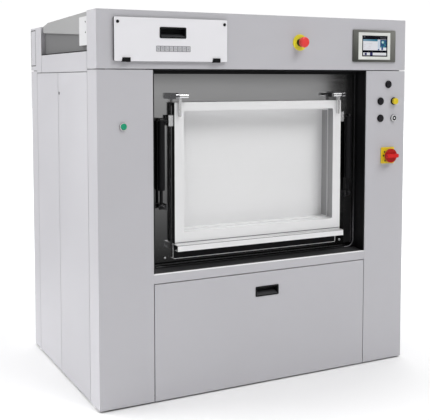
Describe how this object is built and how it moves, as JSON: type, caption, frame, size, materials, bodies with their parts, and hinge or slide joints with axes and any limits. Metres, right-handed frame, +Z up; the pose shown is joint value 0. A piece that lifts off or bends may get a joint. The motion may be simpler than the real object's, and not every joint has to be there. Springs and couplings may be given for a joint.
{
  "type": "barrier washer",
  "caption": "Free-standing pass-through laundry washer with top-hung loading and unloading doors on gas struts, a horizontal drum, a soap dispenser flap and operator controls.",
  "frame": {"origin": "on the floor under the middle of the cabinet", "axes": "+X to the right as seen from the loading side, +Y from the loading side to the clean side, +Z up"},
  "size_m": [1.32, 0.935, 1.4],
  "materials": {
    "cabinet_paint": "fine textured powder coat, light grey",
    "flap_paint": "smooth powder coat, white",
    "grey_paint": "smooth powder coat, mid grey",
    "frame_paint": "satin paint, dark grey",
    "door_steel": "fine ground sheet",
    "polished_steel": "polished sheet",
    "stainless_steel": "rolled sheet",
    "bright_steel": "bright plated steel",
    "strut_paint": "black satin lacquer",
    "black_rubber": "matt",
    "black_plastic": "fine grained",
    "panel_plastic": "satin",
    "screen_glass": "glossy",
    "yellow_plastic": "satin",
    "red_plastic": "satin",
    "green_plastic": "satin",
    "cast_iron": "machined and oiled",
    "motor_paint": "satin paint",
    "valve_brass": "machined",
    "grey_plastic": "moulded"
  },
  "bodies": {
    "cabinet": {"front_left_column": "cabinet_paint", "front_right_column": "cabinet_paint", "front_header": "cabinet_paint", "rear_header": "cabinet_paint", "rear_panels": "cabinet_paint", "left_side_panels": "cabinet_paint", "right_side_panels": "cabinet_paint", "sills": "cabinet_paint", "bay_panels": "grey_paint", "roof_cover": "grey_paint", "main_frame": "frame_paint", "front_tub_plate": "polished_steel", "rear_tub_plate": "polished_steel", "tub": "stainless_steel", "soap_hopper": "stainless_steel", "door_brackets": "bright_steel", "button_bezels": "bright_steel", "levelling_feet": "bright_steel", "edge_trims": "black_rubber", "door_seals": "black_rubber", "tub_mounts": "black_rubber", "drive_belt": "black_rubber", "front_liner": "black_plastic", "rear_liner": "black_plastic", "dispenser_hinges": "black_plastic", "hmi_frame": "panel_plastic", "hmi_panel": "screen_glass", "estop_collars": "yellow_plastic", "main_switch_plate": "yellow_plastic", "drum_bearings": "cast_iron", "drive_motor": "motor_paint", "inlet_valves": "valve_brass", "drain_valve": "grey_plastic"},
    "front_door": {"front_door": "door_steel", "front_door_handle": "door_steel", "front_door_fittings": "bright_steel"},
    "rear_door": {"rear_door": "door_steel", "rear_door_handle": "door_steel", "rear_door_fittings": "bright_steel"},
    "front_strut_rods": {"front_strut_rods": "strut_paint"},
    "front_strut_cylinders": {"front_strut_cylinders": "strut_paint"},
    "rear_strut_rods": {"rear_strut_rods": "strut_paint"},
    "rear_strut_cylinders": {"rear_strut_cylinders": "strut_paint"},
    "drum": {"drum": "stainless_steel", "drum_pulley": "cast_iron"},
    "drum_door": {"drum_door": "stainless_steel"},
    "motor_pulley": {"motor_pulley": "cast_iron"},
    "service_panel": {"front_service_panel": "cabinet_paint", "front_panel_pull": "black_plastic"},
    "dispenser_flap": {"dispenser_flap": "flap_paint", "dispenser_pull": "black_plastic"},
    "front_estop": {"front_estop_button": "red_plastic"},
    "rear_estop": {"rear_estop_button": "red_plastic"},
    "green_button": {"green_button": "green_plastic"},
    "upper_jog_button": {"upper_jog_button": "black_plastic"},
    "middle_jog_button": {"middle_jog_button": "black_plastic"},
    "lower_jog_button": {"lower_jog_button": "black_plastic"},
    "yellow_button": {"yellow_button": "yellow_plastic"},
    "key_switch": {"key_switch": "bright_steel"},
    "main_switch": {"main_switch_knob": "red_plastic"}
  },
  "joints": [
    {"name": "front_door_hinge", "type": "hinge", "parent": "cabinet", "child": "front_door", "pos_m": [0.0065, -0.4065, 1.1015], "axis": [-1, 0, 0], "range_deg": [0, 90]},
    {"name": "rear_door_hinge", "type": "hinge", "parent": "cabinet", "child": "rear_door", "pos_m": [0.0065, 0.4065, 1.1015], "axis": [1, 0, 0], "range_deg": [0, 90]},
    {"name": "front_strut_swing", "type": "hinge", "parent": "cabinet", "child": "front_strut_rods", "pos_m": [0.0065, -0.378, 0.702], "axis": [1, 0, 0], "range_deg": [0, 17.6]},
    {"name": "front_strut_stroke", "type": "slide", "parent": "front_strut_rods", "child": "front_strut_cylinders", "axis": [0, 0, 1], "range_m": [0, 0.0785]},
    {"name": "rear_strut_swing", "type": "hinge", "parent": "cabinet", "child": "rear_strut_rods", "pos_m": [0.0065, 0.378, 0.702], "axis": [-1, 0, 0], "range_deg": [0, 17.6]},
    {"name": "rear_strut_stroke", "type": "slide", "parent": "rear_strut_rods", "child": "rear_strut_cylinders", "axis": [0, 0, 1], "range_m": [0, 0.0785]},
    {"name": "drum_spin", "type": "hinge", "parent": "cabinet", "child": "drum", "pos_m": [0, 0, 0.824], "axis": [1, 0, 0], "continuous": true},
    {"name": "motor_pulley_spin", "type": "hinge", "parent": "cabinet", "child": "motor_pulley", "pos_m": [-0.56, 0, 0.25], "axis": [1, 0, 0], "continuous": true},
    {"name": "drum_door_hinge", "type": "hinge", "parent": "drum", "child": "drum_door", "pos_m": [0, -0.24573, 0.66442], "axis": [-1, 0, 0], "range_deg": [0, 75]},
    {"name": "service_panel_hinge", "type": "hinge", "parent": "cabinet", "child": "service_panel", "pos_m": [0.0065, -0.4155, 0.024], "axis": [1, 0, 0], "range_deg": [0, 85]},
    {"name": "dispenser_flap_hinge", "type": "hinge", "parent": "cabinet", "child": "dispenser_flap", "pos_m": [-0.3835, -0.4335, 1.2265], "axis": [1, 0, 0], "range_deg": [0, 90]},
    {"name": "front_estop_press", "type": "slide", "parent": "cabinet", "child": "front_estop", "axis": [0, 1, 0], "range_m": [0, 0.005]},
    {"name": "rear_estop_press", "type": "slide", "parent": "cabinet", "child": "rear_estop", "axis": [0, -1, 0], "range_m": [0, 0.005]},
    {"name": "green_button_press", "type": "slide", "parent": "cabinet", "child": "green_button", "axis": [0, 1, 0], "range_m": [0, 0.0035], "stiffness_N_per_m": 900, "springref_m": -0.002},
    {"name": "upper_jog_button_press", "type": "slide", "parent": "cabinet", "child": "upper_jog_button", "axis": [0, 1, 0], "range_m": [0, 0.0035], "stiffness_N_per_m": 900, "springref_m": -0.002},
    {"name": "middle_jog_button_press", "type": "slide", "parent": "cabinet", "child": "middle_jog_button", "axis": [0, 1, 0], "range_m": [0, 0.0035], "stiffness_N_per_m": 900, "springref_m": -0.002},
    {"name": "lower_jog_button_press", "type": "slide", "parent": "cabinet", "child": "lower_jog_button", "axis": [0, 1, 0], "range_m": [0, 0.0035], "stiffness_N_per_m": 900, "springref_m": -0.002},
    {"name": "yellow_button_press", "type": "slide", "parent": "cabinet", "child": "yellow_button", "axis": [0, 1, 0], "range_m": [0, 0.0035], "stiffness_N_per_m": 900, "springref_m": -0.002},
    {"name": "key_switch_turn", "type": "hinge", "parent": "cabinet", "child": "key_switch", "pos_m": [0.605, -0.4275, 1.004], "axis": [0, 1, 0], "range_deg": [0, 90]},
    {"name": "main_switch_turn", "type": "hinge", "parent": "cabinet", "child": "main_switch", "pos_m": [0.576, -0.4275, 0.853], "axis": [0, -1, 0], "range_deg": [0, 90]}
  ],
  "couplings": [
    {"joint": "front_strut_swing", "follows": "front_door_hinge", "ratio": 0.19448},
    {"joint": "front_strut_stroke", "follows": "front_door_hinge", "m_per_rad": 0.049664},
    {"joint": "rear_strut_swing", "follows": "rear_door_hinge", "ratio": 0.19448},
    {"joint": "rear_strut_stroke", "follows": "rear_door_hinge", "m_per_rad": 0.049664},
    {"joint": "motor_pulley_spin", "follows": "drum_spin", "ratio": 4.5}
  ]
}
